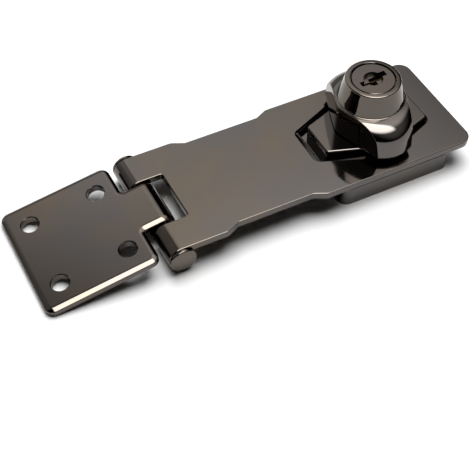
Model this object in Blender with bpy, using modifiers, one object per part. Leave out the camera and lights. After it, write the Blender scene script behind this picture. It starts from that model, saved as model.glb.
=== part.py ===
"""Keyed hasp lock: a hasp arm on a riveted hinge, locked down by a twist knob with a key cylinder.

Run it with: blender --background --python part.py
Metres, +Z up. X runs along the arm, from the hinge at -X to the lock at +X.
The model stands on z = 0 and its origin is under the middle of its bounding box.
"""
import math

import bmesh
import bpy
from mathutils import Matrix, Vector

# Fits
GAP = 0.0003                # clearance left between pieces that touch
PIN_FIT = 0.0003            # between the hinge pin and the rolled sheet
SLIDE_FIT = 0.0003          # round the bolt, the wafers and the crank pin
TURN_FIT = 0.0003           # round the plug, the stem and the crank

# Hasp arm: one steel sheet, its end rolled round the pin
ARM_SHEET = 0.0025
ARM_WIDTH = 0.041
WAIST_STEP = 0.00195        # the middle is narrower by this on each side
ARM_END = 0.0275            # far end of the arm, from the knob's axis
PIN_DISTANCE = 0.0758       # hinge pin, from the knob's axis
HINGE_PLATE = 0.0155        # wide plate beside the hinge, from the pin
LOCK_PLATE = 0.0536         # wide plate over the lock, from the far end
STEP_RUN = 0.0042           # length of the slanted step into the waist
STEP_ROUND = 0.0018
ARM_CORNER = 0.004
ARM_EDGE = 0.0003           # eased upper edge
KNUCKLE_WRAP = math.radians(252)
WINDOW_REACH = 0.0074       # hinge window's far edge, from the pin
WINDOW_WIDTH = 0.0188
WINDOW_CORNER = 0.0008

# Opening in the arm that the boss and the knob pass through
OPENING_SHIFT = 0.0014      # its middle lies this far from the knob, towards the hinge
OPENING_LENGTH = 0.0428
OPENING_END = 0.0140        # width of its flat ends
OPENING_ROUND = 0.0022
OPENING_SLOPE = math.radians(21.5)   # slant of its long sides

# Hinge leaf
LEAF_SHEET = 0.0025
LEAF_EXTRA = 0.0006         # the leaf is wider than the arm by this
LEAF_SHIFT = 0.0006         # the hinge's end play, taken up towards the back
LEAF_NEAR = 0.0062          # wide plate starts here, from the pin
LEAF_FAR = 0.0428
LEAF_CORNER = 0.0025
LEAF_EDGE = 0.0010          # rounded upper edge
TONGUE_WRAP = math.radians(252)
NECK_ROUND = 0.0010
LEAF_HOLE = 0.0057
LEAF_HOLE_NEAR = 0.0131
LEAF_HOLE_PITCH = 0.0222
LEAF_HOLE_ACROSS = 0.0248

# Hinge pin
PIN_RADIUS = 0.0016
PIN_HEAD_RADIUS = 0.0043
PIN_HEAD_HEIGHT = 0.0014
PIN_HEAD_EDGE = 0.0006      # straight rim under the domed face

# Lock base
BASE_LENGTH = 0.0408
BASE_INSET = 0.0003         # its walls lie this far inside the arm's edges
BASE_HEIGHT = 0.0068
BASE_CORNER = 0.0035
BASE_EDGE = 0.0005
BASE_WALL = 0.0022
BASE_ROOF = 0.0022
BOSS_HEIGHT = 0.0045
BOSS_LENGTH = 0.0368
BOSS_END = 0.0126
BOSS_ROUND = 0.0012
BOSS_SLOPE = math.radians(18.5)  # slant of its long sides
BOSS_EDGE = 0.0005
SCREW_HOLE = 0.0046
SCREW_SINK = 0.0084         # widest part of the countersink
SCREW_SINK_DEPTH = 0.0018
SCREW_INSET = 0.0048        # screw holes, from the base's sides
SCREW_POST = 0.0080

# Knob housing
KNOB_HEIGHT = 0.0182        # from its underside to the top of its head
KNOB_REACH = 0.0182         # from its axis to the middle of its rounded ends
KNOB_WAIST = 0.0121         # from its axis to the corner between two flanks
KNOB_SLOPE = math.radians(20)     # slant of its flanks
KNOB_END_ROUND = 0.0106
KNOB_CORNER = 0.0025
WAIST_ROUND = 0.0060
ROOF_HEIGHT = 0.0111        # ridge of the wings, above the knob's underside
ROOF_FALL = 0.0024          # drop from the ridge to the ends
END_LEAN = 0.0017           # the ends lean in by this much
HEAD_RADIUS = 0.00885
HEAD_DRAFT = 0.0007         # the head's foot is this much wider than its top
HEAD_HEIGHT = 0.0090
HEAD_RIM = 0.0006
STEM_RADIUS = 0.0070
STEM_WALL = 0.0017
SPIGOT_RADIUS = 0.0060
SPIGOT_FLAT = 0.0094        # across the two flats that carry the stop washer

# Key plug and wafers
FACE_RADIUS = 0.0069
FACE_HEIGHT = 0.0015
PLUG_RADIUS = 0.0060
PLUG_DROP = 0.0002          # the plug's face lies this far below the rim
PLUG_LENGTH = 0.0143
PLUG_NECK_RADIUS = 0.0027
PLUG_NECK = 0.0020
DRIVE_SQUARE = 0.0036
DRIVE_LENGTH = 0.0018
NECK_FLOOR = 0.0014         # web of the housing round the plug's neck
KEYWAY_LENGTH = 0.0096
KEYWAY_WIDTH = 0.0015
KEYWAY_OFFSET = 0.0007      # the two halves of the keyway lie this far off centre
KEYWAY_DEPTH = 0.0130
KEY_RECESS_RADIUS = 0.0028
KEY_RECESS_DEPTH = 0.0009
WAFER_COUNT = 5
WAFER_PITCH = 0.0022
WAFER_FIRST = 0.0034        # first wafer's middle, below the plug's face
WAFER_THICKNESS = 0.0008
WAFER_LENGTH = 0.0112
WAFER_WIDTH = 0.0041
WAFER_WINDOW = 0.0092
WAFER_TRAVEL = 0.0009
WAFER_CORNER = 0.0003
EAR_LENGTH = 0.0008
EAR_REACH = 0.0018
SPRING_RADIUS = 0.00038
SPRING_WIRE = 0.00008
SPRING_LENGTH = 0.0034
SPRING_START = -0.0024     # the spring's fixed end, from the plug's axis
SPRING_TURNS = 5

# Crank, bolt and its guide
CRANK_RADIUS = 0.0049
CRANK_SOCKET_FLOOR = 0.0009
CRANK_PIN_RADIUS = 0.0008
CRANK_THROW = 0.0014
BOLT_HEIGHT = 0.0024
BOLT_WIDTH = 0.0050
BOLT_REACH = 0.0065         # tip of the bolt, from the knob's axis, drawn in
BOLT_TAIL = 0.0042
BOLT_BITE = 0.0015          # depth of the crank pin in the bolt
GUIDE_FLOOR = 0.0022

# Stop washer, spring washer and retaining screw
STOP_THICKNESS = 0.0010
STOP_RADIUS = 0.0086
LUG_REACH = 0.0128
LUG_HALF_ANGLE = math.radians(12)
LUG_DIRECTION = math.radians(-135)   # at rest the lug points to the hinge side, in front
POST_RADIUS = 0.0014
POST_CIRCLE = 0.0112
SPRING_SPACE = 0.0013       # between the base's roof and the stop washer
SPRING_SHEET = 0.0004
SPRING_RIM = 0.0022
SCREW_HEAD_RADIUS = 0.0072
SCREW_HEAD_HEIGHT = 0.0013
SCREW_SHANK_RADIUS = 0.0016
SCREW_SHANK_LENGTH = 0.0038

# Colours
BLACK_NICKEL = (0.17, 0.16, 0.15)
BRASS = (0.55, 0.42, 0.18)
STEEL = (0.5, 0.5, 0.5)
CAST_ZINC = (0.45, 0.45, 0.44)

# Fineness of round shapes
ARC_STEP = math.radians(18)
ROLL_STEPS = 18
TURN_STEPS = 40
SMALL_STEPS = 20

# Worked out from the sizes above
ARM_WAIST = ARM_WIDTH - 2 * WAIST_STEP
LEAF_WIDTH = ARM_WIDTH + LEAF_EXTRA
TONGUE_WIDTH = WINDOW_WIDTH - 2 * (LEAF_SHIFT + GAP)
BASE_WIDTH = ARM_WIDTH - 2 * BASE_INSET
ROLL_INSIDE = PIN_RADIUS + PIN_FIT
BARREL_RADIUS = ROLL_INSIDE + ARM_SHEET
ARM_TOP = BASE_HEIGHT + GAP + ARM_SHEET
PIN_HEIGHT = ARM_TOP - BARREL_RADIUS
BOSS_TOP = BASE_HEIGHT + BOSS_HEIGHT
KNOB_BOTTOM = BOSS_TOP + GAP
KNOB_TOP = KNOB_BOTTOM + KNOB_HEIGHT
ROOF_UNDER = BASE_HEIGHT - BASE_ROOF
BORE_RADIUS = STEM_RADIUS + TURN_FIT
STEM_BORE = STEM_RADIUS - STEM_WALL
STOP_TOP = ROOF_UNDER - SPRING_SPACE
STOP_BOTTOM = STOP_TOP - STOP_THICKNESS
SPIGOT_TOP = STOP_TOP + GAP
PLUG_TOP = KNOB_TOP - PLUG_DROP
PLUG_FOOT = PLUG_TOP - PLUG_LENGTH
NECK_TOP = PLUG_FOOT - GAP
NECK_BOTTOM = NECK_TOP - NECK_FLOOR
CRANK_TOP = NECK_BOTTOM - GAP
DRIVE_FOOT = PLUG_FOOT - PLUG_NECK - DRIVE_LENGTH
CRANK_BOTTOM = DRIVE_FOOT - GAP - CRANK_SOCKET_FLOOR
BOLT_TOP = CRANK_BOTTOM - 2 * GAP
BOLT_BOTTOM = BOLT_TOP - BOLT_HEIGHT
GUIDE_SLOT = BOLT_BOTTOM - SLIDE_FIT
GUIDE_BOTTOM = GUIDE_SLOT - GUIDE_FLOOR
BOLT_TRAVEL = CRANK_THROW * math.sqrt(2)
CRANK_SIDE = CRANK_THROW / math.sqrt(2)


def leaf_tilt():
    """Angle at which the leaf's rounded outer edge comes to lie on z = 0."""
    along = LEAF_FAR
    across = ROLL_INSIDE
    return math.asin(PIN_HEIGHT / math.hypot(along, across)) + math.atan2(across, along)


LEAF_TILT = leaf_tilt()
LEAF_END_X = (PIN_DISTANCE + (LEAF_FAR - LEAF_EDGE) * math.cos(LEAF_TILT)
              + (ROLL_INSIDE + LEAF_SHEET - LEAF_EDGE) * math.sin(LEAF_TILT) + LEAF_EDGE)
KNOB_X = (LEAF_END_X - ARM_END) / 2


def clear_scene():
    for obj in list(bpy.data.objects):
        bpy.data.objects.remove(obj)


def new_collection(name):
    collection = bpy.data.collections.new(name)
    bpy.context.scene.collection.children.link(collection)
    return collection


def metal(name, colour, roughness):
    material = bpy.data.materials.new(name)
    material.use_nodes = True
    shader = material.node_tree.nodes["Principled BSDF"]
    shader.inputs["Base Color"].default_value = (*colour, 1)
    shader.inputs["Metallic"].default_value = 1
    shader.inputs["Roughness"].default_value = roughness
    return material


clear_scene()
PARTS = new_collection("keyed_hasp_lock")
CUTTERS = new_collection("cutters")

frame = bpy.data.objects.new("knob_axis", None)
frame.location = (KNOB_X, 0, 0)
PARTS.objects.link(frame)


def place(obj, collection, location=(0, 0, 0), tilt=0):
    collection.objects.link(obj)
    obj.parent = frame
    obj.location = location
    obj.rotation_euler = (0, tilt, 0)
    return obj


def part(name, mesh, colour=BLACK_NICKEL, roughness=0.12, location=(0, 0, 0), tilt=0):
    """A named sub-part with its own material."""
    obj = bpy.data.objects.new(name, mesh)
    mesh.materials.clear()
    mesh.materials.append(metal(name, colour, roughness))
    return place(obj, PARTS, location, tilt)


def cutter(name, mesh, location=(0, 0, 0), tilt=0):
    obj = bpy.data.objects.new(name, mesh)
    obj.hide_render = True
    obj.display_type = "WIRE"
    return place(obj, CUTTERS, location, tilt)


def boolean(obj, tool, operation="DIFFERENCE"):
    modifier = obj.modifiers.new(tool.name, "BOOLEAN")
    modifier.operation = operation
    modifier.object = tool


def to_mesh(name, bm):
    mesh = bpy.data.meshes.new(name)
    bm.to_mesh(mesh)
    bm.free()
    return mesh


def smooth(mesh, angle=math.radians(30)):
    mesh.shade_smooth()
    mesh.set_sharp_from_angle(angle=angle)
    return mesh


def rounded(corners):
    """Points of a closed outline whose corners (x, y, radius) are rounded with arcs."""
    points = []
    for index, (x, y, radius) in enumerate(corners):
        corner = Vector((x, y))
        before = Vector(corners[index - 1][:2]) - corner
        after = Vector(corners[(index + 1) % len(corners)][:2]) - corner
        if radius <= 0:
            points.append(corner)
            continue
        half = before.angle(after) / 2
        radius = min(radius, math.tan(half) * 0.49 * min(before.length, after.length))
        centre = corner + (before.normalized() + after.normalized()).normalized() * radius / math.sin(half)
        start = corner + before.normalized() * radius / math.tan(half) - centre
        finish = corner + after.normalized() * radius / math.tan(half) - centre
        sweep = start.angle_signed(finish)
        steps = max(1, math.ceil(abs(sweep) / ARC_STEP))
        for step in range(steps + 1):
            points.append(centre + Matrix.Rotation(-sweep * step / steps, 2) @ start)
    return points


def mirrored(corners):
    """A whole outline from its +Y half, listed from +X to -X."""
    return corners + [(x, -y, radius) for x, y, radius in reversed(corners)]


def flat_mesh(name, outline, low, high):
    """A flat outline given a thickness from z = low to z = high."""
    curve = bpy.data.curves.new(name, "CURVE")
    curve.dimensions = "2D"
    curve.fill_mode = "BOTH"
    curve.extrude = (high - low) / 2
    spline = curve.splines.new("POLY")
    spline.points.add(len(outline) - 1)
    for point, place_2d in zip(spline.points, outline):
        point.co = (place_2d[0], place_2d[1], 0, 1)
    spline.use_cyclic_u = True
    obj = bpy.data.objects.new(name, curve)
    bpy.context.scene.collection.objects.link(obj)
    bpy.context.view_layer.update()
    mesh = bpy.data.meshes.new_from_object(obj.evaluated_get(bpy.context.evaluated_depsgraph_get()))
    bpy.data.objects.remove(obj)
    bm = bmesh.new()
    bm.from_mesh(mesh)
    bpy.data.meshes.remove(mesh)
    bmesh.ops.remove_doubles(bm, verts=bm.verts, dist=1e-6)
    bmesh.ops.dissolve_limit(bm, angle_limit=math.radians(1), verts=bm.verts, edges=bm.edges)
    bmesh.ops.recalc_face_normals(bm, faces=bm.faces)
    bmesh.ops.translate(bm, verts=bm.verts, vec=(0, 0, (high + low) / 2))
    return bm


def ease_rim(bm, height, width, segments):
    """Rounds the edges that run round the flat face at this height."""
    rim = [edge for edge in bm.edges if all(abs(vert.co.z - height) < 1e-6 for vert in edge.verts)]
    bmesh.ops.bevel(bm, geom=rim, offset=width, offset_type="OFFSET", segments=segments, profile=0.5,
                    affect="EDGES", clamp_overlap=True)


def roll_end(bm, side, sheet, wrap):
    """Rolls the sheet beyond x = 0 round the pin, towards side (+1 or -1)."""
    middle = ROLL_INSIDE + sheet / 2
    for step in range(ROLL_STEPS):
        cut = side * step * wrap * middle / ROLL_STEPS
        geometry = bm.verts[:] + bm.edges[:] + bm.faces[:]
        bmesh.ops.bisect_plane(bm, geom=geometry, plane_co=(cut, 0, 0), plane_no=(1, 0, 0))
    for vert in bm.verts:
        radius = ROLL_INSIDE + vert.co.z
        turn = max(0, side * vert.co.x) / middle
        if turn > 0:
            vert.co.x = side * radius * math.sin(turn)
        vert.co.z = radius * math.cos(turn)


def turned_mesh(name, profile, steps):
    """A shape swept by a Screw modifier from a (radius, height) profile that runs from the top down."""
    mesh = bpy.data.meshes.new(name)
    closed = profile[0] == profile[-1]
    points = profile[:-1] if closed else profile
    edges = [(index, index + 1) for index in range(len(points) - 1)]
    if closed:
        edges.append((len(points) - 1, 0))
    mesh.from_pydata([(radius, 0, height) for radius, height in points], edges, [])
    obj = bpy.data.objects.new(name, mesh)
    bpy.context.scene.collection.objects.link(obj)
    sweep = obj.modifiers.new("sweep", "SCREW")
    sweep.steps = steps
    sweep.render_steps = steps
    sweep.use_merge_vertices = True
    sweep.merge_threshold = 1e-6
    bpy.context.view_layer.update()
    swept = bpy.data.meshes.new_from_object(obj.evaluated_get(bpy.context.evaluated_depsgraph_get()))
    bpy.data.objects.remove(obj)
    bpy.data.meshes.remove(mesh)
    bm = bmesh.new()
    bm.from_mesh(swept)
    bpy.data.meshes.remove(swept)
    bmesh.ops.remove_doubles(bm, verts=bm.verts, dist=1e-6)
    bmesh.ops.recalc_face_normals(bm, faces=bm.faces)
    return smooth(to_mesh(name, bm))


def turned(name, profile, steps=TURN_STEPS, location=(0, 0, 0)):
    return cutter(name, turned_mesh(name, profile, steps), location)


def turned_part(name, profile, steps=TURN_STEPS, colour=BLACK_NICKEL, roughness=0.12, location=(0, 0, 0)):
    return part(name, turned_mesh(name, profile, steps), colour, roughness, location)


def rod(radius, low, high):
    """Profile of a plain round bar."""
    return [(0, high), (radius, high), (radius, low), (0, low)]


def block_mesh(name, low, high):
    bm = bmesh.new()
    bmesh.ops.create_cube(bm, size=1)
    size = Vector(high) - Vector(low)
    bmesh.ops.scale(bm, verts=bm.verts, vec=size)
    bmesh.ops.translate(bm, verts=bm.verts, vec=(Vector(high) + Vector(low)) / 2)
    return to_mesh(name, bm)


def block_cutter(name, low, high):
    return cutter(name, block_mesh(name, low, high))


def long_hex(length, end_width, slope, corner_round, waist_round):
    """Outline shared by boss and opening: flat ends, and straight sides that widen to the middle."""
    half = length / 2
    middle = end_width / 2 + half * math.tan(slope)
    end = end_width / 2
    corners = [(half, end, corner_round), (0, middle, waist_round), (-half, end, corner_round)]
    return rounded(mirrored(corners))


def arm_outline():
    """Flat blank of the arm, with x from the pin and the rolled length at negative x."""
    wide = ARM_WIDTH / 2
    waist = ARM_WAIST / 2
    far = PIN_DISTANCE + ARM_END
    step_out = far - LOCK_PLATE
    roll_length = KNUCKLE_WRAP * (ROLL_INSIDE + ARM_SHEET / 2)
    window = WINDOW_WIDTH / 2
    return rounded(mirrored([
        (far, wide, ARM_CORNER),
        (step_out, wide, STEP_ROUND),
        (step_out - STEP_RUN, waist, STEP_ROUND),
        (HINGE_PLATE + STEP_RUN, waist, STEP_ROUND),
        (HINGE_PLATE, wide, STEP_ROUND),
        (-roll_length, wide, 0),
        (-roll_length, window, 0),
        (WINDOW_REACH, window, WINDOW_CORNER),
    ]))


def hasp_arm():
    bm = flat_mesh("arm_blank", arm_outline(), 0, ARM_SHEET)
    ease_rim(bm, ARM_SHEET, ARM_EDGE, 1)
    roll_end(bm, -1, ARM_SHEET, KNUCKLE_WRAP)
    obj = part("hasp_arm", smooth(to_mesh("hasp_arm", bm)), location=(-PIN_DISTANCE, 0, PIN_HEIGHT))
    outline = [point - Vector((OPENING_SHIFT, 0)) for point in
               long_hex(OPENING_LENGTH, OPENING_END, OPENING_SLOPE, OPENING_ROUND, WAIST_ROUND)]
    hole = flat_mesh("arm_opening", outline, ARM_TOP - 2 * ARM_SHEET, ARM_TOP + ARM_SHEET)
    boolean(obj, cutter("arm_opening", to_mesh("arm_opening", hole)))


def leaf_outline():
    """Flat blank of the leaf, with x from the pin and the rolled tongue at positive x."""
    wide = LEAF_WIDTH / 2
    tongue = TONGUE_WIDTH / 2
    roll_length = TONGUE_WRAP * (ROLL_INSIDE + LEAF_SHEET / 2)
    return rounded(mirrored([
        (roll_length, tongue, 0),
        (-LEAF_NEAR, tongue, NECK_ROUND),
        (-LEAF_NEAR, wide, LEAF_CORNER),
        (-LEAF_FAR, wide, LEAF_CORNER),
    ]))


def hinge_leaf():
    bm = flat_mesh("leaf_blank", leaf_outline(), 0, LEAF_SHEET)
    ease_rim(bm, LEAF_SHEET, LEAF_EDGE, 3)
    roll_end(bm, 1, LEAF_SHEET, TONGUE_WRAP)
    seat = (-PIN_DISTANCE, LEAF_SHIFT, PIN_HEIGHT)
    obj = part("hinge_leaf", smooth(to_mesh("hinge_leaf", bm)), location=seat, tilt=-LEAF_TILT)
    for column in range(2):
        for row in (-1, 1):
            along = -LEAF_HOLE_NEAR - column * LEAF_HOLE_PITCH
            bm = bmesh.new()
            bmesh.ops.create_cone(bm, cap_ends=True, segments=SMALL_STEPS, radius1=LEAF_HOLE / 2,
                                  radius2=LEAF_HOLE / 2, depth=4 * LEAF_SHEET)
            place_3d = (along, row * LEAF_HOLE_ACROSS / 2, ROLL_INSIDE + LEAF_SHEET / 2)
            bmesh.ops.translate(bm, verts=bm.verts, vec=place_3d)
            name = f"leaf_hole_{column}_{'front' if row < 0 else 'back'}"
            boolean(obj, cutter(name, to_mesh(name, bm), seat, -LEAF_TILT))


def hinge_pin():
    """Riveted pin with a low domed head at each end, turned about Y."""
    shank = ARM_WIDTH / 2 + GAP
    edge = shank + PIN_HEAD_EDGE
    dome = PIN_HEAD_HEIGHT - PIN_HEAD_EDGE
    profile = [(PIN_HEAD_RADIUS * math.sin(turn), edge + dome * math.cos(turn))
               for turn in (math.radians(angle) for angle in (0, 22, 45, 67, 90))]
    profile += [(PIN_HEAD_RADIUS, shank), (PIN_RADIUS, shank)]
    profile += [(radius, -height) for radius, height in reversed(profile)]
    obj = turned_part("hinge_pin", profile, TURN_STEPS - 8, location=(-PIN_DISTANCE, 0, PIN_HEIGHT))
    obj.rotation_euler = (math.radians(90), 0, 0)


def base_outline(inset):
    length = BASE_LENGTH / 2 - inset
    width = BASE_WIDTH / 2 - inset
    corner = max(BASE_CORNER - inset, BASE_EDGE)
    return rounded(mirrored([(length, width, corner), (-length, width, corner)]))


def stop_post_angles():
    """Directions of the two posts that stop the knob at 0 and 90 degrees, from the lug's rest direction."""
    away = LUG_HALF_ANGLE + math.asin(POST_RADIUS / POST_CIRCLE) + GAP / POST_CIRCLE
    return (-away, math.radians(90) + away)


def lock_base():
    bm = flat_mesh("base_block", base_outline(0), 0, BASE_HEIGHT)
    ease_rim(bm, BASE_HEIGHT, BASE_EDGE, 2)
    obj = part("lock_base", smooth(to_mesh("lock_base", bm)))

    boss = flat_mesh("base_boss", long_hex(BOSS_LENGTH, BOSS_END, BOSS_SLOPE, BOSS_ROUND, WAIST_ROUND),
                     BASE_HEIGHT - BASE_ROOF / 2, BOSS_TOP)
    ease_rim(boss, BOSS_TOP, BOSS_EDGE, 2)
    boolean(obj, cutter("base_boss", to_mesh("base_boss", boss)), "UNION")

    hollow = flat_mesh("base_hollow", base_outline(BASE_WALL), -BASE_HEIGHT, ROOF_UNDER)
    boolean(obj, cutter("base_hollow", to_mesh("base_hollow", hollow)))

    along = BASE_LENGTH / 2 - SCREW_INSET
    across = BASE_WIDTH / 2 - SCREW_INSET
    corners = [(x, y) for x in (-along, along) for y in (-across, across)]
    for number, (x, y) in enumerate(corners):
        post = rod(SCREW_POST / 2, GAP, BASE_HEIGHT - BASE_ROOF / 2)
        boolean(obj, turned(f"screw_post_{number}", post, SMALL_STEPS, (x, y, 0)), "UNION")
    for number, angle in enumerate(stop_post_angles()):
        direction = LUG_DIRECTION + angle
        post = rod(POST_RADIUS, STOP_BOTTOM, BASE_HEIGHT - BASE_ROOF / 2)
        seat = (POST_CIRCLE * math.cos(direction), POST_CIRCLE * math.sin(direction), 0)
        boolean(obj, turned(f"stop_post_{number}", post, SMALL_STEPS - 8, seat), "UNION")

    above = BOSS_TOP + GAP
    sink = [(0, above), (SCREW_SINK / 2, above), (SCREW_SINK / 2, BASE_HEIGHT),
            (SCREW_HOLE / 2, BASE_HEIGHT - SCREW_SINK_DEPTH), (SCREW_HOLE / 2, -BASE_ROOF), (0, -BASE_ROOF)]
    for number, (x, y) in enumerate(corners):
        boolean(obj, turned(f"screw_hole_{number}", sink, SMALL_STEPS, (x, y, 0)))
    boolean(obj, turned("stem_bore", rod(BORE_RADIUS, 0, KNOB_BOTTOM)))

    deep = BOLT_REACH + BOLT_TRAVEL + SLIDE_FIT
    side = BOLT_WIDTH / 2 + SLIDE_FIT
    low = BOLT_BOTTOM - SLIDE_FIT
    high = BOLT_TOP + SLIDE_FIT
    boolean(obj, block_cutter("locked_notch", (0, -side, low), (deep, side, high)))
    boolean(obj, block_cutter("open_notch", (-side, 0, low), (side, deep, high)))


def knob_plan():
    """Plan of the knob's wings: rounded ends, with flanks that widen to the middle."""
    centre = KNOB_REACH - KNOB_END_ROUND
    distance = KNOB_WAIST * math.cos(KNOB_SLOPE) - centre * math.sin(KNOB_SLOPE)
    corner = math.radians(90) - KNOB_SLOPE - math.acos(distance / KNOB_END_ROUND)
    steps = math.ceil(2 * corner / ARC_STEP)
    end = [(KNOB_END_ROUND * math.sin(turn), centre + KNOB_END_ROUND * math.cos(turn), 0)
           for turn in (corner * (2 * step / steps - 1) for step in range(1, steps))]
    flank = (KNOB_END_ROUND * math.sin(corner), centre + KNOB_END_ROUND * math.cos(corner), KNOB_CORNER)
    half = [(-flank[0], flank[1], KNOB_CORNER), *end, flank, (KNOB_WAIST, 0, WAIST_ROUND)]
    return rounded(half + [(-x, -y, radius) for x, y, radius in half])


def knob_side():
    """Side view of the wings: a low roof over ends that lean in, listed as (height, reach)."""
    half = [(KNOB_BOTTOM - GAP, KNOB_REACH + GAP), (KNOB_BOTTOM, KNOB_REACH),
            (KNOB_BOTTOM + ROOF_HEIGHT - ROOF_FALL, KNOB_REACH - END_LEAN)]
    ridge = [(KNOB_BOTTOM + ROOF_HEIGHT, 0)]
    return half + ridge + [(height, -reach) for height, reach in reversed(half)]


def knob_housing():
    """Wings across the arm, with the turned head and stem joined on."""
    bm = flat_mesh("knob_housing", knob_plan(), KNOB_BOTTOM, KNOB_TOP)
    obj = part("knob_housing", smooth(to_mesh("knob_housing", bm)))
    side = flat_mesh("knob_side", knob_side(), -2 * KNOB_WAIST, 2 * KNOB_WAIST)
    upright = Matrix.Rotation(math.radians(-90), 3, "Y")
    bmesh.ops.rotate(side, verts=side.verts, cent=(0, 0, 0), matrix=upright)
    boolean(obj, cutter("knob_side", to_mesh("knob_side", side)), "INTERSECT")

    inner = HEAD_RADIUS - HEAD_RIM
    lower = KNOB_TOP - HEAD_RIM
    rim = [(inner + HEAD_RIM * math.sin(turn), lower + HEAD_RIM * math.cos(turn))
           for turn in (math.radians(angle) for angle in (0, 30, 60, 90))]
    profile = [(0, KNOB_TOP)] + rim + [
        (HEAD_RADIUS + HEAD_DRAFT, KNOB_TOP - HEAD_HEIGHT),
        (HEAD_RADIUS + HEAD_DRAFT, KNOB_BOTTOM + GAP),
        (STEM_RADIUS, KNOB_BOTTOM + GAP),
        (STEM_RADIUS, SPIGOT_TOP),
        (SPIGOT_RADIUS, SPIGOT_TOP),
        (SPIGOT_RADIUS, STOP_BOTTOM + GAP),
        (0, STOP_BOTTOM + GAP),
    ]
    boolean(obj, turned("knob_head", profile), "UNION")

    bore = [(0, KNOB_TOP + GAP), (FACE_RADIUS + TURN_FIT, KNOB_TOP + GAP),
            (FACE_RADIUS + TURN_FIT, PLUG_TOP - FACE_HEIGHT - GAP),
            (PLUG_RADIUS + TURN_FIT, PLUG_TOP - FACE_HEIGHT - GAP), (PLUG_RADIUS + TURN_FIT, NECK_TOP),
            (PLUG_NECK_RADIUS + TURN_FIT, NECK_TOP), (PLUG_NECK_RADIUS + TURN_FIT, NECK_BOTTOM),
            (STEM_BORE, NECK_BOTTOM), (STEM_BORE, 0), (0, 0)]
    boolean(obj, turned("knob_bore", bore))

    reach = WAFER_LENGTH / 2 + WAFER_TRAVEL + SLIDE_FIT
    side = WAFER_WIDTH / 2 + SLIDE_FIT
    low = PLUG_FOOT
    high = PLUG_TOP - FACE_HEIGHT / 2
    boolean(obj, block_cutter("wafer_groove_x", (-reach, -side, low), (reach, side, high)))
    boolean(obj, block_cutter("wafer_groove_y", (-side, -reach, low), (side, reach, high)))

    side = BOLT_WIDTH / 2 + SLIDE_FIT
    high = BOLT_TOP + SLIDE_FIT
    boolean(obj, block_cutter("bolt_window", (0, -side, GUIDE_SLOT), (BORE_RADIUS, side, high)))
    for row in (-1, 1):
        near = row * SPIGOT_FLAT / 2
        low = (-STEM_RADIUS, min(near, row * STEM_RADIUS), 0)
        high = (STEM_RADIUS, max(near, row * STEM_RADIUS), SPIGOT_TOP)
        boolean(obj, block_cutter(f"spigot_flat_{'front' if row < 0 else 'back'}", low, high))


def wafer_height(number):
    return PLUG_TOP - WAFER_FIRST - number * WAFER_PITCH


def key_plug():
    profile = [(0, PLUG_TOP), (FACE_RADIUS, PLUG_TOP), (FACE_RADIUS, PLUG_TOP - FACE_HEIGHT),
               (PLUG_RADIUS, PLUG_TOP - FACE_HEIGHT), (PLUG_RADIUS, PLUG_FOOT), (PLUG_NECK_RADIUS, PLUG_FOOT),
               (PLUG_NECK_RADIUS, PLUG_FOOT - PLUG_NECK), (0, PLUG_FOOT - PLUG_NECK)]
    obj = turned_part("key_plug", profile, roughness=0.2)
    half = DRIVE_SQUARE / 2
    square = block_cutter("drive_square", (-half, -half, DRIVE_FOOT), (half, half, PLUG_FOOT - PLUG_NECK / 2))
    boolean(obj, square, "UNION")

    recess = rod(KEY_RECESS_RADIUS, PLUG_TOP - KEY_RECESS_DEPTH, PLUG_TOP + GAP)
    boolean(obj, turned("key_recess", recess, SMALL_STEPS))
    for side in (-1, 1):
        ends = sorted((side * KEYWAY_LENGTH / 2, -side * KEYWAY_WIDTH / 2))
        low = (ends[0], side * KEYWAY_OFFSET - KEYWAY_WIDTH / 2, PLUG_TOP - KEYWAY_DEPTH)
        high = (ends[1], side * KEYWAY_OFFSET + KEYWAY_WIDTH / 2, PLUG_TOP + GAP)
        boolean(obj, block_cutter("keyway_right" if side > 0 else "keyway_left", low, high))

    half = WAFER_THICKNESS / 2 + SLIDE_FIT
    side = WAFER_WIDTH / 2 + SLIDE_FIT
    pocket_low, pocket_high = spring_pocket()
    for number in range(WAFER_COUNT):
        height = wafer_height(number)
        slot = block_cutter(f"wafer_slot_{number + 1}", (-FACE_RADIUS, -side, height - half),
                            (FACE_RADIUS, side, height + half))
        boolean(obj, slot)
        pocket = block_cutter(f"spring_pocket_{number + 1}", (pocket_low, 0, height - half),
                              (pocket_high, WAFER_WIDTH / 2 + EAR_REACH + SLIDE_FIT, height + half))
        boolean(obj, pocket)


def spring_pocket():
    """Ends of the pocket beside each wafer that holds its spring and lets its ear travel."""
    low = SPRING_START - SLIDE_FIT
    high = SPRING_START + SPRING_LENGTH + SLIDE_FIT + EAR_LENGTH + WAFER_TRAVEL + SLIDE_FIT
    return low, high


def wafers():
    """Flat tumblers with a window for the key and an ear for the spring; drawn in, as a key holds them."""
    ear_start = SPRING_START + SPRING_LENGTH + SLIDE_FIT
    side = WAFER_WIDTH / 2
    end = WAFER_LENGTH / 2
    ear_end = ear_start + EAR_LENGTH
    outline = rounded([(end, -side, WAFER_CORNER), (end, side, WAFER_CORNER), (ear_end, side, 0),
                       (ear_end, side + EAR_REACH, 0), (ear_start, side + EAR_REACH, 0),
                       (ear_start, side, 0), (-end, side, WAFER_CORNER), (-end, -side, WAFER_CORNER)])
    for number in range(WAFER_COUNT):
        height = wafer_height(number)
        half = WAFER_THICKNESS / 2
        name = f"wafer_{number + 1}"
        bm = flat_mesh(name, outline, height - half, height + half)
        obj = part(name, to_mesh(name, bm), BRASS, 0.3)
        wall = (WAFER_LENGTH - WAFER_WINDOW) / 2
        reach = KEYWAY_OFFSET + KEYWAY_WIDTH / 2
        window = block_cutter(f"{name}_window", (-end + wall, -reach, height - WAFER_THICKNESS),
                              (end - wall, reach, height + WAFER_THICKNESS))
        boolean(obj, window)


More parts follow.
